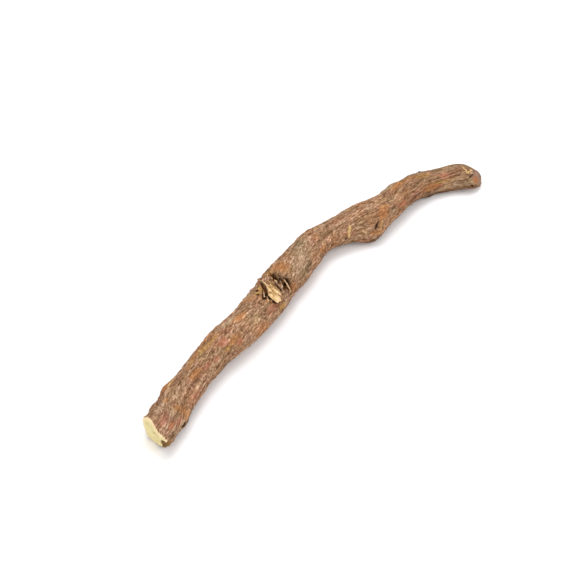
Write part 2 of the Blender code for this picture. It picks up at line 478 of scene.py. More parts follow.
def rim_round(from_end, size):
    """How far a rim is rounded inwards, at a distance from its end."""
    worn = np.clip(1.0 - from_end / size, 0.0, 1.0)
    return size * (1.0 - np.sqrt(1.0 - worn**2))


def cut_shift(at, sideways, upwards):
    """How far the slant of the two cuts carries a point along the root."""
    thick = (THICK_CUT[0] * sideways + THICK_CUT[1] * upwards) * eased(1.0 - at / CUT_REACH)
    thin = THIN_CUT[0] * sideways + THIN_CUT[1] * upwards - THIN_CUT_BACK
    size = np.hypot(sideways, upwards) / GIRTH[0][1]
    angle = np.degrees(np.arctan2(sideways, upwards))
    for face, width, shift in NEAR_CUT_WAVES:
        wave = shift * np.exp(-((turn_between(angle, face) / width) ** 2))
        thick += wave * size**2 * eased(1.0 - at / NEAR_WAVE_REACH)
    return thick + thin * eased(1.0 - (LENGTH - at) / CUT_REACH)


def new_ring(bm, edges):
    """Extrudes a ring of edges, and returns the new ring's points and edges."""
    grown = bmesh.ops.extrude_edge_only(bm, edges=edges)["geom"]
    points = [item for item in grown if isinstance(item, bmesh.types.BMVert)]
    fresh = set(points)
    sides = [item for item in grown if isinstance(item, bmesh.types.BMEdge)]
    return points, [edge for edge in sides if fresh.issuperset(edge.verts)]


# The flat grid that becomes the sleeve, with its rings crowded together in the fine zones.
bm = bmesh.new()
bmesh.ops.create_grid(bm, x_segments=ROUND, y_segments=RINGS, size=0.5, calc_uvs=True)
flat = np.array([vert.co[:] for vert in bm.verts])
angle = 360.0 * flat[:, 0]
steps = np.linspace(0.0, LENGTH, 2000)
crowding = np.ones_like(steps)
for start, end, rings in FINE_ZONES:
    begun = eased((steps - start) / FINE_ZONE_BLEND + 1.0)
    crowding += (rings - 1.0) * begun * eased((end - steps) / FINE_ZONE_BLEND + 1.0)
crowding = np.concatenate([[0.0], np.cumsum(crowding[1:] + crowding[:-1])])
at = np.interp(flat[:, 1] + 0.5, crowding / crowding[-1], steps)

# The relief of the bark and of the scars, and the sleeve bent along the root.
hollow = eased(KNOT_HOLLOW_STEEPNESS * band(KNOT_HOLLOW, at, angle))
lip = band(TORN_LIP, at, angle)
cleft = band(CLEFT, at, angle)
rest = resting(at, angle)
quiet = 1.0 - np.maximum.reduce([hollow, lip, rest])
lines = leaning(at, angle)
net = bark_net(at, lines)
torn = torn_grain(at, angle)
pits = np.clip(spots(PITS, at, angle), 0.0, DEEPEST_PIT)
left_groove, right_groove, torn_groove = (
    band(rows, at, angle) for rows in (LEFT_GROOVE, RIGHT_GROOVE, TORN_GROOVE)
)
scratches = np.maximum(band(LEFT_SCRATCH, at, angle), band(RIGHT_SCRATCH, at, angle))
wall_angles, wall_places = np.array(CRATER_WALL).T
inside = eased(0.5 - (at - np.interp(angle, wall_angles, wall_places)) / CRATER_WALL_WIDTH)
radius = (
    plain_radius(at, angle)
    + WRINKLE_DEPTH * wrinkles(at, angle) * quiet
    - KNOT_HOLLOW_DEPTH * hollow
    + TORN_LIP_HEIGHT * lip
    - CLEFT_DEPTH * cleft
    - SLIT_DEPTH * band(SLIT_SCAR, at, angle)
    + SLIT_LIP_HEIGHT * band(SLIT_LIP, at, angle)
    + SLIVER_HEIGHT * band(SLIVER_SCAR, at, angle)
    + NET_DEPTH * (net - NET_MIDDLE) * (1.0 - hollow) * (1.0 - rest)
    + TORN_DEPTH * torn * hollow
    - PIT_DEPTH * pits
    - GROOVE_DEPTH * np.maximum.reduce([left_groove, right_groove, torn_groove])
)
radius -= rim_round(at, THICK_RIM_ROUND) + rim_round(LENGTH - at, THIN_RIM_ROUND)
sideways, upwards = radius * np.sin(np.radians(angle)), radius * np.cos(np.radians(angle))
straight = points_of(sideways, upwards, at)
wound = pattern(drawn_out(at), lines, 1.0, 1.0)
placed = bent(at + cut_shift(at, sideways, upwards), sideways, upwards)
placed[:, 2] = np.maximum(placed[:, 2], 0.0)

# Patches of the bark: distance along, angle round, half length, half angle, strength.
RUST = [
    (4.75, -50.0, 1.8, 11.0, 0.7),
    (12.2, -84.0, 1.8, 14.0, 0.8),
    (10.4, -34.0, 1.7, 14.0, 1.0),
    (11.9, -58.0, 1.8, 13.0, 1.0),
    (18.6, 54.0, 2.6, 14.0, 1.0),
    (11.6, 14.0, 1.3, 10.0, 0.8),
    (26.0, -22.0, 3.4, 16.0, 1.2),
    (28.0, 20.0, 1.8, 11.0, 1.0),
    (33.3, 29.0, 2.0, 13.0, 1.1),
    (46.4, -48.0, 2.4, 13.0, 1.2),
    (54.5, -2.0, 3.8, 15.0, 0.9),
    (64.5, 20.0, 3.0, 14.0, 0.7),
    (84.0, 4.0, 3.2, 26.0, 1.0),
    (82.0, -74.0, 2.0, 14.0, 1.1),
    (104.5, -72.0, 3.8, 11.0, 1.0),
    (129.6, -101.0, 3.0, 7.0, 1.1),
    (134.2, -61.0, 2.0, 17.0, 1.2),
    (136.0, -40.0, 2.2, 14.0, 0.9),
    (149.0, 8.0, 5.0, 18.0, 1.1),
    (156.5, 8.0, 3.0, 12.0, 0.9),
    (163.0, -76.0, 4.2, 16.0, 1.3),
    (184.4, -94.0, 0.5, 22.0, 1.3),
    (60.0, -95.0, 6.0, 30.0, 0.6),
    (105.0, 110.0, 8.0, 40.0, 0.8),
    (150.0, 150.0, 8.0, 50.0, 0.6),
    (40.0, 170.0, 9.0, 50.0, 0.7),
]
RED = [
    (4.2, -20.0, 2.0, 13.0, 1.2),
    (4.9, -50.0, 1.9, 11.0, 0.8),
    (7.8, -68.0, 1.7, 10.0, 1.0),
    (20.0, -70.0, 6.0, 22.0, 0.6),
    (32.2, -38.0, 3.4, 10.0, 0.8),
    (37.0, -48.0, 1.6, 10.0, 1.0),
    (43.2, -28.0, 2.0, 14.0, 1.3),
    (48.0, -66.0, 1.6, 9.0, 0.9),
    (66.0, -60.0, 2.8, 14.0, 1.4),
    (144.4, -72.0, 2.6, 10.0, 1.0),
    (170.0, -28.0, 3.6, 11.0, 1.0),
    (167.0, -72.0, 3.0, 8.0, 0.8),
    (30.0, 120.0, 12.0, 50.0, 0.8),
    (90.0, -150.0, 12.0, 40.0, 0.7),
]
# Grey patches. The wide rows on the thin half's upper and lower flanks are partly a painted pale sheen at
# its edges; the others are grey bark.
GREY = [
    (7.8, 18.0, 4.0, 14.0, 1.0),
    (50.5, 12.0, 3.8, 9.0, 1.1),
    (57.0, -34.0, 5.0, 26.0, 0.8),
    (91.0, -36.0, 7.0, 34.0, 1.0),
    (97.0, 10.0, 9.0, 40.0, 0.6),
    (120.0, 30.0, 12.0, 30.0, 0.6),
    (138.5, -72.0, 2.8, 12.0, 1.1),
    (146.0, 40.0, 3.0, 16.0, 0.9),
    (158.0, 50.0, 26.0, 18.0, 1.2),
    (168.0, 28.0, 18.0, 18.0, 0.9),
    (165.0, 100.0, 14.0, 50.0, 0.7),
    (175.0, -84.0, 7.0, 34.0, 1.0),
    (184.2, -90.0, 1.4, 24.0, 0.8),
    (184.3, -150.0, 0.9, 50.0, 0.9),
    (171.0, 12.0, 11.0, 16.0, 1.4),
    (168.3, -58.0, 5.0, 9.0, 0.8),
]
OCHRE = [
    (19.5, 36.0, 3.0, 12.0, 0.8),
    (30.6, 24.0, 1.6, 11.0, 1.0),
    (37.2, 18.0, 2.6, 13.0, 1.1),
    (40.8, 9.0, 4.0, 10.0, 1.0),
    (42.8, -54.0, 2.2, 10.0, 1.0),
    (69.5, 14.0, 3.2, 15.0, 1.3),
    (72.2, -88.0, 1.8, 12.0, 1.1),
    (79.2, 26.0, 2.4, 17.0, 1.1),
    (161.0, -10.0, 3.8, 12.0, 1.1),
    (168.3, -60.0, 5.0, 7.0, 0.9),
]
BROWN_CORNER = [(0.3, -112.0, 2.2, 30.0, 1.5)]
SCRAPED_END = 1.2
SCRAPED_START = -88.0
SCRAPED_BLEND = 14.0
# Dark spots. Those round the knot, from 66 to 83 along, are partly painted shade in its grooves and between
# the lumps of its crater.
DARK = [
    (69.75, 22.0, 0.6, 6.0, 1.3),
    (67.3, 10.0, 0.6, 6.0, 1.2),
    (66.9, -18.0, 0.8, 7.0, 1.3),
    (72.7, -69.0, 0.5, 4.0, 1.1),
    (77.0, 23.0, 0.45, 5.0, 1.1),
    (77.9, 14.0, 0.45, 5.0, 1.1),
    (80.0, -11.0, 0.4, 4.0, 0.6),
    (82.4, -57.0, 0.4, 5.0, 0.8),
    (9.9, -101.0, 0.6, 9.0, 2.5),
    (3.75, -84.0, 0.5, 4.0, 0.7),
    (118.2, -92.0, 0.5, 5.0, 1.1),
    (162.6, 42.0, 0.7, 6.0, 1.0),
    (182.3, -109.0, 0.5, 8.0, 1.2),
    (184.3, -58.0, 0.3, 6.0, 1.3),
    (183.8, -64.0, 0.4, 5.0, 1.0),
    (184.47, -14.0, 0.2, 16.0, 1.1),
    (183.4, -12.0, 0.25, 6.0, 0.7),
    (182.2, -72.0, 0.22, 12.0, 0.6),
]
PALE = [
    (14.2, -86.0, 0.8, 6.0, 0.5),
    (36.2, 26.0, 0.5, 5.0, 0.9),
    (66.3, -60.0, 1.3, 8.0, 0.4),
    (38.0, 20.0, 0.45, 4.0, 0.8),
    (133.9, -118.0, 0.8, 10.0, 0.5),
    (184.35, -43.0, 0.16, 3.5, 1.3),
]
# Painted shade, with some darker bark: darkening along the underside of the thin half and of the knuckle,
# round the knot's crater and in the notch by the sawn end; the other rows are darker bark.
SHADE_AND_DARK_BARK = [
    (3.8, -84.0, 1.1, 8.0, 1.5),
    (5.0, -34.0, 4.0, 34.0, 0.6),
    (11.0, -50.0, 3.0, 30.0, 0.45),
    (20.5, 88.0, 4.0, 12.0, 0.8),
    (77.4, 20.0, 1.4, 12.0, 0.6),
    (79.9, -18.0, 0.9, 16.0, 0.7),
    (82.0, -74.0, 1.8, 12.0, 0.65),
    (133.0, -122.0, 7.0, 14.0, 0.8),
    (160.0, -122.0, 22.0, 18.0, 1.0),
    (184.0, -122.0, 12.0, 16.0, 0.8),
]
masks = {
    "rust": spots(RUST, at, angle) + 0.5 * band(SLIT_LIP, at, angle),
    "red": spots(RED, at, angle),
    "grey": spots(GREY, at, angle),
    "ochre": spots(OCHRE, at, angle),
    # Painted shade darkens the pits, the grooves beside the flake and the slit, on top of the dark spots.
    "dark": spots(DARK, at, angle)
    + 1.2 * (pits + left_groove + right_groove)
    + 1.56 * band(SLIT_SCAR, at, angle),
    "pale": spots(PALE, at, angle)
    + 1.2 * band(SLIVER_SCAR, at, angle)
    # Along the slit's lip the pale colour is a painted highlight on its ridge.
    + 0.45 * band(SLIT_LIP, at, angle)
    + 1.1 * scratches,
    "scraped": eased(SCRAPED_END - at) * eased((angle - SCRAPED_START) / SCRAPED_BLEND)
    + 2.2 * band(PALE_CHIP, at, angle),
    "long lines": np.minimum(1.0, spots(LONG_LINES, at, angle)),
    "corner": spots(BROWN_CORNER, at, angle),
    # Torn wood in the crater and in the cleft under the flake; its darkest tone is painted shade in the
    # hollow and in the flake's shadow.
    "torn": hollow * inside + 0.7 * cleft + 0.6 * torn_groove,
    "splinter": 0.5 + 0.6 * torn,
    # Painted shade on the underside and round the knot, with some darker bark.
    "shade_and_dark_bark": spots(SHADE_AND_DARK_BARK, at, angle),
    "ridge": net,
    "crispness": 1.0 - SMOOTH_SHARE * eased((at - SMOOTH_START) / SMOOTH_REACH),
}
layers = {name: bm.verts.layers.float.new(name) for name in masks}
straight_layer = bm.verts.layers.float_vector.new("straight")
wound_layer = bm.verts.layers.float_vector.new("wound")
for index, vert in enumerate(bm.verts):
    vert.co = placed[index] * MM
    vert[straight_layer] = straight[index]
    vert[wound_layer] = wound[index]
    for name, layer in layers.items():
        vert[layer] = masks[name][index]
bmesh.ops.remove_doubles(bm, verts=bm.verts, dist=SEAM_GAP)

# The two cut faces: their rings as shares of the rim, and their spots across, up, half width, half height
# and strength. The worn end's material also takes the rim, up to its reach.
SAWN_END = 1
WORN_END = 2
RIM_REACHES = {SAWN_END: 1e-6, WORN_END: 0.45}
FACE_SHARES = (0.985, 0.95, 0.88, 0.8, 0.7, 0.6, 0.5, 0.4, 0.3, 0.2, 0.1)
FACE_GRAIN = 0.22
CHIPPED_CORNER = (-4.8, -2.4)
CHIP_SIZE = 3.5
CHIP_DEPTH = 0.7
FACE_SPOTS = {
    SAWN_END: {
        "dark": [(-2.6, -1.5, 0.5, 0.45, 1.1)],
        "grey": [(0.2, 0.1, 1.5, 0.35, 1.4), (3.0, 2.2, 1.6, 0.3, 0.9)],
    },
    WORN_END: {"rust": [(-2.8, -0.5, 1.3, 1.8, 1.2)]},
}


def face_spots(rows, across, upward):
    """Soft spots on a cut face."""
    total = np.zeros_like(across)
    for x, y, width, height, strength in rows:
        total += strength * np.exp(-(((across - x) / width) ** 2) - ((upward - y) / height) ** 2)
    return total


for end, slot in ((0.0, SAWN_END), (LENGTH, WORN_END)):
    rims = [edge for edge in bm.edges if edge.is_boundary]
    ring = [edge for edge in rims if abs(edge.verts[0][straight_layer][2] - end) < 1.0]
    for edge in ring:
        edge.smooth = slot == WORN_END
    # The rim point on the straight root that each point of a ring comes from.
    rim = None
    for share in FACE_SHARES:
        points, ring = new_ring(bm, ring)
        if rim is None:
            rim = {point: np.array(point[straight_layer]) for point in points}
        else:
            rim = {fresh: rim[min(rim, key=lambda old: (old.co - fresh.co).length)] for fresh in points}
        outline = np.array([rim[point] for point in points])
        across, upward = outline[:, 0] * share, outline[:, 1] * share
        spot = points_of(across * 1.3, upward * 1.3, end)
        grain = FACE_GRAIN * (noise_at(spot) + 0.4 * noise_at(spot * 3.1)) * (1.0 - share**6)
        ends = np.full_like(across, end)
        corner = np.hypot(across - CHIPPED_CORNER[0], upward - CHIPPED_CORNER[1]) / CHIP_SIZE
        chipped = eased(3.0 * (1.0 - corner) + 0.5 * grain) * (slot == SAWN_END)
        found = {label: face_spots(rows, across, upward) for label, rows in FACE_SPOTS[slot].items()}
        grain += CHIP_DEPTH * chipped
        face_points = bent(ends + cut_shift(ends, across, upward) + grain, across, upward)
        for index, point in enumerate(points):
            point.co = face_points[index] * MM
            point.co.z = max(0.0, point.co.z)
            point[straight_layer] = (across[index], upward[index], end)
            for layer in layers.values():
                point[layer] = 0.0
            point[layers["corner"]] = 1.4 * chipped[index]
            for label, strengths in found.items():
                point[layers[label]] = strengths[index]
    bmesh.ops.edgeloop_fill(bm, edges=ring)
    middle = [face for face in bm.faces if len(face.verts) > 4]
    centre_point = bmesh.ops.poke(bm, faces=middle)["verts"][0]
    centre_point[straight_layer] = (0.0, 0.0, end)
    for face in bm.faces:
        if all(abs(vert[straight_layer][2] - end) < RIM_REACHES[slot] for vert in face.verts):
            face.material_index = slot
bmesh.ops.recalc_face_normals(bm, faces=bm.faces)
mesh = bpy.data.meshes.new("root")
bm.to_mesh(mesh)
bm.free()
for polygon in mesh.polygons:
    polygon.use_smooth = True
root = bpy.data.objects.new("root", mesh)
bpy.context.scene.collection.objects.link(root)
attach(root, "root")
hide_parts("licorice_root")


def add(tree, kind, **settings):
    """A new shader node with its own settings."""
    fresh = tree.nodes.new(kind)
    for name, value in settings.items():
        setattr(fresh, name, value)
    return fresh


def feed(tree, source, socket):
    """Links a node's output to a socket, or sets the socket when the source is a plain value."""
    if isinstance(source, bpy.types.NodeSocket):
        tree.links.new(source, socket)
    else:
        socket.default_value = source


def sums(tree, operation, first, second=0.0, third=0.0, clamp=False):
    """The result of a math node."""
    fresh = add(tree, "ShaderNodeMath", operation=operation, use_clamp=clamp)
    for socket, source in zip(fresh.inputs, (first, second, third)):
        feed(tree, source, socket)
    return fresh.outputs[0]


def weighed(tree, start, *parts):
    """A starting value and any number of (source, weight) pairs, added up."""
    for source, weight in parts:
        start = sums(tree, "MULTIPLY_ADD", source, weight, start)
    return start


def blend(tree, share, first, second, how="MIX"):
    """The first colour, with the second laid over it by its share."""
    fresh = add(tree, "ShaderNodeMix", data_type="RGBA", blend_type=how)
    feed(tree, share, fresh.inputs[0])
    feed(tree, first, fresh.inputs[6])
    feed(tree, second, fresh.inputs[7])
    return fresh.outputs[2]


def new_group(name, inputs, output):
    """An empty shader group with named inputs and one named output."""
    group = bpy.data.node_groups.new(name, "ShaderNodeTree")
    for label, kind, value in inputs:
        socket = group.interface.new_socket(name=label, in_out="INPUT", socket_type=kind)
        if value is not None:
            socket.default_value = value
    group.interface.new_socket(name=output, in_out="OUTPUT", socket_type="NodeSocketFloat")
    return group, add(group, "NodeGroupInput").outputs, add(group, "NodeGroupOutput").inputs


def use_group(tree, group, **values):
    """The output of a shader group, with its inputs linked or set."""
    fresh = add(tree, "ShaderNodeGroup", node_tree=group)
    for label, source in values.items():
        feed(tree, source, fresh.inputs[label])
    return fresh.outputs[0]


# Noise drawn out along the grain, thin lines along its middle level, and patches with a ragged edge.
streaks, given, result = new_group(
    "streaks",
    [
        ("Place", "NodeSocketVector", None),
        ("Across", "NodeSocketFloat", 1.0),
        ("Along", "NodeSocketFloat", 0.15),
        ("Detail", "NodeSocketFloat", 3.0),
    ],
    "Streak",
)
reach = add(streaks, "ShaderNodeCombineXYZ")
for socket, label in zip(reach.inputs, ("Across", "Across", "Along")):
    streaks.links.new(given[label], socket)
spread = add(streaks, "ShaderNodeVectorMath", operation="MULTIPLY")
streaks.links.new(given["Place"], spread.inputs[0])
streaks.links.new(reach.outputs[0], spread.inputs[1])
cloud = add(streaks, "ShaderNodeTexNoise")
cloud.inputs["Scale"].default_value = 1.0
streaks.links.new(spread.outputs[0], cloud.inputs["Vector"])
streaks.links.new(given["Detail"], cloud.inputs["Detail"])
streaks.links.new(cloud.outputs[0], result["Streak"])

threads, given, result = new_group(
    "crest_lines",
    [
        ("Place", "NodeSocketVector", None),
        ("Across", "NodeSocketFloat", 0.5),
        ("Along", "NodeSocketFloat", 0.1),
        ("Sharpness", "NodeSocketFloat", 10.0),
    ],
    "Crest",
)
drawn = {label: given[label] for label in ("Place", "Across", "Along")}
swing = use_group(threads, streaks, **drawn, Detail=3.0)
swing = sums(threads, "ABSOLUTE", sums(threads, "SUBTRACT", swing, 0.5))
swing = sums(threads, "SUBTRACT", 1.0, sums(threads, "MULTIPLY", swing, given["Sharpness"]), clamp=True)
threads.links.new(swing, result["Crest"])

ragged, given, result = new_group(
    "ragged_patch",
    [
        ("Place", "NodeSocketVector", None),
        ("Mask", "NodeSocketFloat", 0.0),
        ("Raggedness", "NodeSocketFloat", 0.8),
        ("Grain", "NodeSocketFloat", 1.4),
    ],
    "Patch",
)
fray = use_group(ragged, streaks, Place=given["Place"], Across=given["Grain"], Along=0.5)
fray = sums(ragged, "MULTIPLY", sums(ragged, "SUBTRACT", fray, 0.5), given["Raggedness"])
edge = add(ragged, "ShaderNodeMapRange", interpolation_type="SMOOTHSTEP")
edge.inputs["From Min"].default_value = 0.15
edge.inputs["From Max"].default_value = 0.85
ragged.links.new(sums(ragged, "ADD", given["Mask"], fray), edge.inputs["Value"])
ragged.links.new(edge.outputs[0], result["Patch"])


def mask_of(tree, name):
    """A mask that is stored on the points of the mesh."""
    return add(tree, "ShaderNodeAttribute", attribute_name=name).outputs["Fac"]


def place_of(tree):
    """The place of each point on the root before it was bent."""
    return add(tree, "ShaderNodeAttribute", attribute_name="straight").outputs["Vector"]


def patch_of(tree, place, name, **values):
    """A stored mask with a ragged edge."""
    return use_group(tree, ragged, Place=place, Mask=mask_of(tree, name), **values)


def ramp(tree, share, stops):
    """A colour that runs through (share, colour) stops."""
    fresh = add(tree, "ShaderNodeValToRGB")
    feed(tree, share, fresh.inputs[0])
    while len(fresh.color_ramp.elements) < len(stops):
        fresh.color_ramp.elements.new(0.5)
    for element, (position, colour) in zip(fresh.color_ramp.elements, stops):
        element.position = position
        element.color = (*colour, 1.0)
    return fresh.outputs[0]


def dress(material, base, roughness, height, strength, specular):
    """Joins a colour, a roughness and a relief, built in the material's own tree, to its shader."""
    tree = material.node_tree
    shader = tree.nodes["Principled BSDF"]
    tree.links.new(base, shader.inputs["Base Color"])
    feed(tree, roughness, shader.inputs["Roughness"])
    shader.inputs["Specular IOR Level"].default_value = specular
    bump = add(tree, "ShaderNodeBump")
    bump.inputs["Strength"].default_value = strength
    bump.inputs["Distance"].default_value = RELIEF_HEIGHT
    tree.links.new(height, bump.inputs["Height"])
    tree.links.new(bump.outputs[0], shader.inputs["Normal"])


RELIEF_HEIGHT = 0.15 * MM

# The bark's colours from its furrows to its crests, then broad tints of it: scale across and along, tint,
# start of the noise. A patch has a tint, an even colour with its share, and a strength.
# The dark furrow colour and the pale crest colour are partly the bark's own and partly painted: painted
# shade in the furrows, a painted highlight on the crests.
FURROW = (0.105, 0.052, 0.026)
FLANK = (0.28, 0.152, 0.084)
SLOPE = (0.44, 0.275, 0.171)
CREST = (0.80, 0.57, 0.388)
TINTS = [
    (0.208, 0.16, (1.07, 0.94, 0.80, 1.0), (3.0, 8.0, 1.0)),
    (0.272, 0.192, (1.03, 0.94, 1.0, 1.0), (9.0, 2.0, 7.0)),
    (0.24, 0.112, (0.90, 0.97, 0.90, 1.0), (5.0, 5.0, 12.0)),
]
PATCHES = [
    ("grey", (1.05, 1.22, 1.26), (0.40, 0.27, 0.17), 0.1, 0.9),
    ("red", (1.10, 0.83, 0.88), (0.43, 0.18, 0.11), 0.28, 1.0),
    ("rust", (1.12, 0.90, 0.66), (0.42, 0.20, 0.08), 0.28, 1.0),
    ("ochre", (1.10, 1.03, 0.62), (0.40, 0.24, 0.08), 0.22, 0.9),
    # The last patch darkens the bark: painted shade, with some darker bark.
    ("shade_and_dark_bark", (0.60, 0.60, 0.58), (0.15, 0.09, 0.055), 0.1, 1.0),
]
# Pale bare wood, also used as a painted highlight along the slit's lip.
BARE_WOOD_AND_HIGHLIGHT = (0.57, 0.37, 0.15)
SCRAPED_RIM = (0.84, 0.66, 0.40)
CORNER_BROWN = (0.25, 0.135, 0.045)
CORNER_DARK = (0.075, 0.04, 0.01)
# Near black for the dark mask: dark spots, and painted shade in the pits, grooves and slit.
DARK_PIT = (0.022, 0.006, 0.001)
# The torn wood's darkest colour, near black: painted shade in the crater's hollow and in the cleft under
# the flake.
TORN_DARK_AND_SHADE = (0.018, 0.005, 0.001)
TORN_LIGHT = (0.28, 0.108, 0.022)
BARE_SPOTS = [
    ("scraped", SCRAPED_RIM, 1.8),
    ("pale", BARE_WOOD_AND_HIGHLIGHT, 0.5),
    ("dark", DARK_PIT, 0.5),
]
BARE_SHARE = 0.93
BARK_TONE = -0.915
SMOOTH_TONE = -0.28
TORN_TONE = -0.6
TINT_CONTRAST = 4.0
TINT_START = -1.8
FURROW_ROUGHNESS = 0.92
CREST_ROUGHNESS = -0.12

bark = bpy.data.materials.new("bark")
bark.use_nodes = True
tree = bark.node_tree
place = place_of(tree)
wound = add(tree, "ShaderNodeAttribute", attribute_name="wound").outputs["Vector"]
fine = use_group(tree, streaks, Place=wound, Across=2.3, Along=1.1, Detail=2.0)
broad = use_group(tree, streaks, Place=wound, Across=0.6, Along=0.06, Detail=2.0)
thread = use_group(tree, threads, Place=wound, Across=1.0, Along=0.27, Sharpness=8.0)
long_thread = use_group(tree, threads, Place=wound, Across=0.9, Along=0.07, Sharpness=7.0)
longer = weighed(tree, 0.0, (long_thread, 1.3), (thread, -1.0))
thread = sums(tree, "MULTIPLY_ADD", mask_of(tree, "long lines"), longer, thread)
ridge = mask_of(tree, "ridge")
relief = weighed(tree, BARK_TONE, (ridge, 0.34), (thread, 0.26), (fine, 1.35), (broad, 0.8))
# Towards the thin end the relief is flattened and the bark made a little darker.
relief = sums(tree, "SUBTRACT", relief, SMOOTH_TONE)
relief = sums(tree, "MULTIPLY_ADD", relief, mask_of(tree, "crispness"), SMOOTH_TONE)
colour = ramp(tree, relief, [(0.0, FURROW), (0.38, FLANK), (0.65, SLOPE), (0.97, CREST)])
for across, along, tint, start in TINTS:
    shift = add(tree, "ShaderNodeVectorMath", operation="ADD")
    tree.links.new(wound, shift.inputs[0])
    shift.inputs[1].default_value = start
    cloudy = use_group(tree, streaks, Place=shift.outputs[0], Across=across, Along=along, Detail=3.0)
    share = sums(tree, "MULTIPLY_ADD", cloudy, TINT_CONTRAST, TINT_START, clamp=True)
    colour = blend(tree, share, colour, blend(tree, 1.0, colour, tint, how="MULTIPLY"))
for label, tint, even, evenness, strength in PATCHES:
    patch = patch_of(tree, place, label)
    tinted = blend(tree, 1.0, colour, (*tint, 1.0), how="MULTIPLY")
    tinted = blend(tree, evenness, tinted, (*even, 1.0))
    colour = blend(tree, sums(tree, "MULTIPLY", patch, strength), colour, tinted)
torn_tone = weighed(tree, TORN_TONE, (mask_of(tree, "splinter"), 1.0), (fine, 1.2))
torn_wood = ramp(tree, torn_tone, [(0.3, TORN_DARK_AND_SHADE), (0.85, TORN_LIGHT)])
colour = blend(tree, sums(tree, "MULTIPLY", mask_of(tree, "torn"), 1.6, clamp=True), colour, torn_wood)
corner = ramp(tree, fine, [(0.25, CORNER_DARK), (0.5, CORNER_BROWN)])
colour = blend(tree, patch_of(tree, place, "corner", Raggedness=0.6), colour, corner)
for label, tint, raggedness in BARE_SPOTS:
    patch = patch_of(tree, place, label, Raggedness=raggedness, Grain=1.6)
    colour = blend(tree, sums(tree, "MULTIPLY", patch, BARE_SHARE), colour, (*tint, 1.0))
dullness = weighed(tree, FURROW_ROUGHNESS, (relief, CREST_ROUGHNESS))
dress(bark, colour, dullness, relief, strength=0.7, specular=0.1)
root.data.materials.append(bark)

# The sawn face: pale wood with faint growth rings, crossed by the marks of the saw.
WOOD_LIGHT = (0.78, 0.68, 0.365)
WOOD_DEEP = (0.58, 0.46, 0.20)
WOOD_DARK = (0.34, 0.24, 0.08)
RING_PITCH = 1.1
RING_WANDER = 1.6
SAW_TURN_RADIANS = 0.42
WOOD_TONE = -0.12

wood = bpy.data.materials.new("cut_wood")
wood.use_nodes = True
tree = wood.node_tree
place = place_of(tree)
flatten = add(tree, "ShaderNodeVectorMath", operation="MULTIPLY")
tree.links.new(place, flatten.inputs[0])
flatten.inputs[1].default_value = (1.0, 1.0, 0.0)
size = add(tree, "ShaderNodeVectorMath", operation="LENGTH")
tree.links.new(flatten.outputs[0], size.inputs[0])
blotch = use_group(tree, streaks, Place=place, Across=0.7, Along=0.7, Detail=4.0)
speck = use_group(tree, streaks, Place=place, Across=4.5, Along=4.5, Detail=2.0)
from_pith = size.outputs["Value"]
ringed = weighed(tree, 0.0, (from_pith, math.tau / RING_PITCH), (blotch, math.tau * RING_WANDER))
ringed = sums(tree, "MULTIPLY_ADD", sums(tree, "SINE", ringed), 0.5, 0.5)
turned = add(tree, "ShaderNodeMapping")
tree.links.new(place, turned.inputs["Vector"])
turned.inputs["Rotation"].default_value = (0.0, 0.0, SAW_TURN_RADIANS)
turned.inputs["Scale"].default_value = (0.25, 1.6, 1.0)
saw = use_group(tree, streaks, Place=turned.outputs[0], Across=1.0, Along=0.0, Detail=2.0)
tone = weighed(tree, WOOD_TONE, (ringed, 0.08), (blotch, 0.45), (speck, 0.25), (saw, 0.85))
tone = weighed(tree, tone, (mask_of(tree, "grey"), -0.3))
colour = ramp(tree, tone, [(0.30, WOOD_DARK), (0.45, WOOD_DEEP), (0.78, WOOD_LIGHT)])
corner = ramp(tree, speck, [(0.25, CORNER_DARK), (0.5, CORNER_BROWN)])
colour = blend(tree, patch_of(tree, place, "corner"), colour, corner)
colour = blend(tree, patch_of(tree, place, "dark", Raggedness=0.4), colour, (*CORNER_DARK, 1.0))
dress(wood, colour, 0.85, sums(tree, "ADD", tone, speck), strength=0.6, specular=0.2)
root.data.materials.append(wood)

# The worn end: greyish old wood with a fresher orange patch.
WORN_LIGHT = (0.335, 0.152, 0.058)
WORN_RED = (0.30, 0.11, 0.05)
WORN_GREY = (0.33, 0.212, 0.15)
WORN_DARK = (0.17, 0.09, 0.055)
WORN_PALE = (0.72, 0.48, 0.22)
WORN_HOLE = (0.10, 0.042, 0.025)

worn = bpy.data.materials.new("worn_end")
worn.use_nodes = True
tree = worn.node_tree
place = place_of(tree)
blotch = use_group(tree, streaks, Place=place, Across=0.8, Along=0.8, Detail=4.0)
speck = use_group(tree, streaks, Place=place, Across=3.5, Along=3.5, Detail=3.0)
tone = weighed(tree, 0.0, (blotch, 0.7), (speck, 0.4))
colour = ramp(tree, tone, [(0.35, WORN_DARK), (0.7, WORN_GREY)])
orange = ramp(tree, tone, [(0.35, WORN_RED), (0.7, WORN_LIGHT)])
colour = blend(tree, patch_of(tree, place, "rust"), colour, orange)
for label, tint in (("pale", WORN_PALE), ("dark", WORN_HOLE)):
    colour = blend(tree, patch_of(tree, place, label, Raggedness=0.4), colour, (*tint, 1.0))
dress(worn, colour, 0.88, sums(tree, "ADD", tone, speck), strength=0.7, specular=0.2)
root.data.materials.append(worn)

# The torn flake
# A thin tongue of fresh pale wood that split off with the side shoot and stands up along the near edge of
# its scar, over a darker strip of torn wood. Each is a closed stick, pressed flat between its two edges.

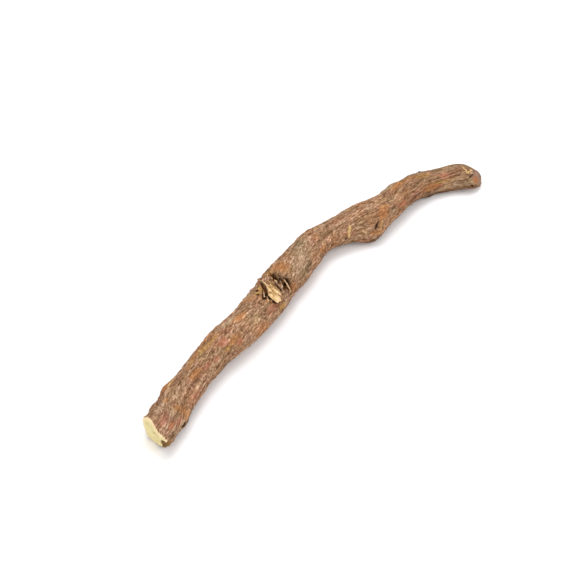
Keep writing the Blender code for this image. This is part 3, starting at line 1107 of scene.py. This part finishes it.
# The edges of the two tongues: angle round, distance along of the near and of the far edge.
FLAKE = [
    (-58.0, 68.8, 72.0),
    (-54.0, 68.4, 72.6),
    (-50.0, 68.2, 72.9),
    (-40.0, 67.8, 73.3),
    (-30.0, 67.75, 73.4),
    (-22.0, 68.1, 73.1),
    (-16.0, 69.1, 72.8),
    (-12.0, 70.2, 72.8),
    (-6.0, 71.0, 73.1),
    (0.0, 72.0, 73.5),
    (14.0, 73.5, 74.1),
    (26.0, 74.3, 74.9),
    (44.0, 75.85, 76.15),
]
UNDER_STRIP = [
    (-50.0, 73.0, 73.3),
    (-40.0, 72.3, 73.5),
    (-28.0, 71.9, 73.8),
    (-14.0, 71.7, 74.5),
    (-6.0, 72.7, 74.9),
    (2.0, 73.5, 75.1),
    (9.0, 74.4, 74.8),
]

# Outline, lift, tilt, thickness, tone and contrast of each tongue.
TONGUES = [
    (UNDER_STRIP, 0.4, 0.1, 0.35, -0.12, 1.4),
    (FLAKE, 0.62, 0.35, 0.4, 0.5, 0.9),
]
TEETH_ANGLE = 7.0
TEETH_SLANT = 5.0
FRAYING = 0.15
FIBRE_HEIGHT = 0.4
EDGE_SHADE = 0.18

# Dark specks of the upper tongue, and painted highlights on its ridge and edge in the rows of negative
# strength, in the columns of the bark's patches.
FLAKE_SPECKS_AND_HIGHLIGHTS = [
    (71.7, -12.0, 0.4, 4.0, 1.8),
    (69.3, -22.0, 0.4, 4.0, 1.8),
    (69.0, -32.0, 0.4, 4.5, 1.4),
    (73.0, 0.0, 0.6, 9.0, -0.6),
    (70.2, -17.0, 0.5, 4.0, -0.6),
    (71.9, -44.0, 0.5, 12.0, -0.7),
    (70.2, -59.0, 1.0, 4.0, -0.6),
]


def on_bark(at, angle, height):
    """A point that stands clear of the bark, before its wrinkles, by a height."""
    reach = plain_radius(at, angle) + height
    sideways, upwards = reach * np.sin(np.radians(angle)), reach * np.cos(np.radians(angle))
    return bent(at + cut_shift(at, sideways, upwards), sideways, upwards) * MM


def new_piece(name, bm, material):
    """Closes a bmesh into a smooth piece of the root."""
    bmesh.ops.recalc_face_normals(bm, faces=bm.faces)
    mesh = bpy.data.meshes.new(name)
    bm.to_mesh(mesh)
    bm.free()
    mesh.shade_smooth()
    mesh.materials.append(material)
    piece = bpy.data.objects.new(name, mesh)
    bpy.context.scene.collection.objects.link(piece)
    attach(piece, "root")
    return piece


def closed_stick(bm, around, along):
    """Adds a closed stick, and returns its points with the share of its length, cosine and sine of each."""
    verts_before = len(bm.verts)
    edges_before = len(bm.edges)
    bmesh.ops.create_cone(bm, segments=around, radius1=1.0, radius2=1.0, depth=1.0, cap_ends=True)
    bm.edges.ensure_lookup_table()
    fresh = bm.edges[edges_before:]
    sides = [edge for edge in fresh if abs(edge.verts[0].co.z - edge.verts[1].co.z) > 0.5]
    bmesh.ops.subdivide_edges(bm, edges=sides, cuts=along, use_grid_fill=True)
    bm.verts.ensure_lookup_table()
    made = bm.verts[verts_before:]
    flat = np.array([vert.co[:] for vert in made])
    return made, flat[:, 2] + 0.5, flat[:, 0], flat[:, 1]


bm = bmesh.new()
fibre_layer = bm.verts.layers.float.new("fibre")
straight_layer = bm.verts.layers.float_vector.new("straight")
for rows, lift, tilt, thick, tone, contrast in TONGUES:
    upper = float(rows is FLAKE)
    made, share, across, above = closed_stick(bm, around=30, along=70)
    angles, lefts, rights = np.array(rows).T
    angle = angles[0] + (angles[-1] - angles[0]) * share
    teeth = TEETH_ANGLE * noise_at(points_of(across * 3.5, above * 0.3, share + 2.0))
    angle += upper * (teeth - TEETH_SLANT * across) * (1.0 - share) ** 10
    left, right = np.interp(angle, angles, lefts), np.interp(angle, angles, rights)
    width = (right - left) / 2.0
    frayed = 1.0 + FRAYING * noise_at(points_of(angle * 0.2, np.sign(across) * 2.0, upper * 5.0))
    at = (left + right) / 2.0 + across * width * frayed
    fibre = noise_at(points_of(angle * 0.05, across * 2.6, 4.0 + upper))
    fibre += 0.5 * noise_at(points_of(angle * 0.15, across * 6.0, 9.0))
    thickness = thick * np.minimum(1.0, width)
    height = lift * (0.45 + 0.55 * np.minimum(1.0, width / 1.4)) - tilt * across * np.minimum(1.0, width)
    height += thickness * above + FIBRE_HEIGHT * fibre * np.maximum(above, 0.0) * np.minimum(1.0, width)
    tones = tone + contrast * fibre - EDGE_SHADE * across - upper * spots(FLAKE_SPECKS_AND_HIGHLIGHTS, at, angle)
    placed = on_bark(at, angle, height)
    for index, vert in enumerate(made):
        vert.co = placed[index]
        vert[fibre_layer] = tones[index]
        vert[straight_layer] = (at[index], across[index] + 7.0 * upper, angle[index] * 0.1)

# The palest flake colour is a painted highlight.
FLAKE_HIGHLIGHT = (0.78, 0.52, 0.30)
FLAKE_PALE = (0.54, 0.36, 0.155)
FLAKE_TAN = (0.32, 0.165, 0.06)
FLAKE_BROWN = (0.13, 0.06, 0.02)
FLAKE_TONE = -0.55

flake_wood = bpy.data.materials.new("flake_wood")
flake_wood.use_nodes = True
tree = flake_wood.node_tree
place = place_of(tree)
blotch = use_group(tree, streaks, Place=place, Across=0.9, Along=0.5, Detail=3.0)
thread = use_group(tree, streaks, Place=place, Across=4.0, Along=0.5, Detail=3.0)
tone = weighed(tree, FLAKE_TONE, (mask_of(tree, "fibre"), 0.5), (blotch, 0.6), (thread, 1.1))
colour = ramp(tree, tone, [(0.0, FLAKE_BROWN), (0.25, FLAKE_TAN), (0.55, FLAKE_PALE), (0.85, FLAKE_HIGHLIGHT)])
dress(flake_wood, colour, 0.8, thread, strength=0.7, specular=0.2)
new_piece("torn_flake", bm, flake_wood)

# The splinters
# Broken fibres of wood left standing across the scar where the side shoot was pulled away. Each is a thin
# tapering stick with a slight bow, fixed at both ends in the torn wood.

# Distance, angle and height of the one end, then of the other, half width and tone.
SPLINTERS = [
    (79.4, -30.0, -0.2, 78.7, -77.0, 0.0, 0.28, 0.95),
    (77.6, -23.0, -0.2, 75.9, -44.0, -0.1, 0.40, 0.50),
    (75.5, -36.0, 0.0, 74.3, -56.0, 0.0, 0.42, 0.60),
    (77.2, 9.0, 0.1, 76.5, -2.0, 0.0, 0.36, 0.65),
    (76.5, -8.0, 0.0, 75.6, -23.0, 0.0, 0.34, 0.70),
    (75.6, -20.0, -0.1, 75.0, -33.0, -0.1, 0.34, 0.40),
    (76.9, -55.0, -0.1, 76.1, -70.0, 0.0, 0.36, 0.50),
    (75.6, -56.0, 0.0, 75.0, -66.0, 0.0, 0.36, 0.45),
    (77.5, -68.0, 0.0, 77.0, -78.0, 0.0, 0.30, 0.55),
    (76.9, -83.0, 0.1, 83.2, -97.0, 0.15, 0.30, 0.70),
]
SPLINTER_BOW = 0.15
SPLINTER_SWAY = 0.3
SPLINTER_LUMPS = 0.5
SPLINTER_THICKNESS = 0.8
THICKEST_HALF = 0.4
# The splinters' tops are painted lighter: a painted highlight.
TOP_HIGHLIGHT = 0.12

bm = bmesh.new()
fibre_layer = bm.verts.layers.float.new("fibre")
straight_layer = bm.verts.layers.float_vector.new("straight")
for number, (at_0, angle_0, height_0, at_1, angle_1, height_1, width, tone) in enumerate(SPLINTERS):
    made, share, across, above = closed_stick(bm, around=9, along=24)
    taper = np.sqrt(np.clip(1.0 - np.abs(2.0 * share - 1.0) ** 3.0, 0.02, 1.0))
    lumps = noise_at(points_of(share * 5.0, across * 0.5, above * 0.5 + 3.0 * number))
    taper *= 1.0 + SPLINTER_LUMPS * lumps
    sway = SPLINTER_SWAY * noise_at(points_of(share * 2.5, 0.0, 5.0 + number))
    ends = on_bark(np.array([at_0, at_1]), np.array([angle_0, angle_1]), np.array([height_0, height_1]))
    angle = angle_0 + (angle_1 - angle_0) * share
    middle = at_0 + (at_1 - at_0) * share
    lift = on_bark(middle, angle, 1.0) - on_bark(middle, angle, 0.0)
    aside = on_bark(middle + 0.5, angle, 0.0) - on_bark(middle - 0.5, angle, 0.0)
    thickness = SPLINTER_THICKNESS * min(width, THICKEST_HALF) * taper
    rise = SPLINTER_BOW * np.sin(share * math.pi) + above * thickness
    placed = ends[0] + (ends[1] - ends[0]) * share[:, None]
    placed += lift * rise[:, None] + aside * (across * width * taper + sway)[:, None]
    for index, vert in enumerate(made):
        vert.co = placed[index]
        vert[fibre_layer] = tone + TOP_HIGHLIGHT * above[index]
        vert[straight_layer] = (middle[index] + across[index] * width, above[index], angle[index] * 0.1)

SPLINTER_PALE = (0.60, 0.40, 0.24)
SPLINTER_TAN = (0.26, 0.15, 0.092)
SPLINTER_DARK = (0.09, 0.04, 0.02)
SPLINTER_TONE = -0.85

splinter_wood = bpy.data.materials.new("splinter_wood")
splinter_wood.use_nodes = True
tree = splinter_wood.node_tree
thread = use_group(tree, streaks, Place=place_of(tree), Across=1.6, Along=1.5, Detail=3.0)
tone = weighed(tree, SPLINTER_TONE, (mask_of(tree, "fibre"), 1.0), (thread, 1.7))
colour = ramp(tree, tone, [(0.15, SPLINTER_DARK), (0.6, SPLINTER_TAN), (0.95, SPLINTER_PALE)])
dress(splinter_wood, colour, 0.85, thread, strength=0.6, specular=0.2)
new_piece("splinters", bm, splinter_wood)

# The floor, the light and the camera
# A wide white sheet under the root, large soft lamps above it, and a long lens that looks down at it.

bm = bmesh.new()
bmesh.ops.create_grid(bm, x_segments=1, y_segments=1, size=3.0)
mesh = bpy.data.meshes.new("floor")
bm.to_mesh(mesh)
bm.free()
floor = bpy.data.objects.new("floor", mesh)
bpy.context.scene.collection.objects.link(floor)
paper = bpy.data.materials.new("paper")
paper.use_nodes = True
shader = paper.node_tree.nodes["Principled BSDF"]
shader.inputs["Base Color"].default_value = (0.92, 0.92, 0.93, 1.0)
shader.inputs["Roughness"].default_value = 0.9
shader.inputs["Specular IOR Level"].default_value = 0.1
mesh.materials.append(paper)

world = bpy.data.worlds.new("studio")
bpy.context.scene.world = world
world.use_nodes = True
backdrop = world.node_tree.nodes["Background"]
backdrop.inputs["Color"].default_value = (1.0, 1.0, 1.0, 1.0)
backdrop.inputs["Strength"].default_value = 0.75

# Name, place and width in metres, power in watts.
LAMPS = [
    ("key", (0.10, 0.22, 1.15), 0.9, 7.3),
    ("front", (0.35, -1.0, 0.85), 1.0, 5.6),
    ("side", (-1.1, -0.35, 0.7), 0.9, 3.5),
]
for name, place, size, power in LAMPS:
    lamp = bpy.data.lights.new(name, "AREA")
    lamp.shape = "DISK"
    lamp.size = size
    lamp.energy = power
    holder = bpy.data.objects.new(name, lamp)
    holder.location = place
    holder.rotation_euler = (-Vector(place)).to_track_quat("-Z", "Y").to_euler()
    bpy.context.scene.collection.objects.link(holder)

CAMERA_PLACE = Vector((-0.3740, -0.2871, 0.3985))
CAMERA_TARGET = Vector((-0.0024, 0.0087, 0.0))
LENS = 113.5
view = bpy.data.cameras.new("camera")
view.lens = LENS
view.sensor_width = 36.0
view.clip_start = 0.01
camera = bpy.data.objects.new("camera", view)
camera.location = CAMERA_PLACE
camera.rotation_euler = (CAMERA_TARGET - CAMERA_PLACE).to_track_quat("-Z", "Y").to_euler()
bpy.context.scene.collection.objects.link(camera)
bpy.context.scene.camera = camera
bpy.context.scene.view_settings.view_transform = "Standard"
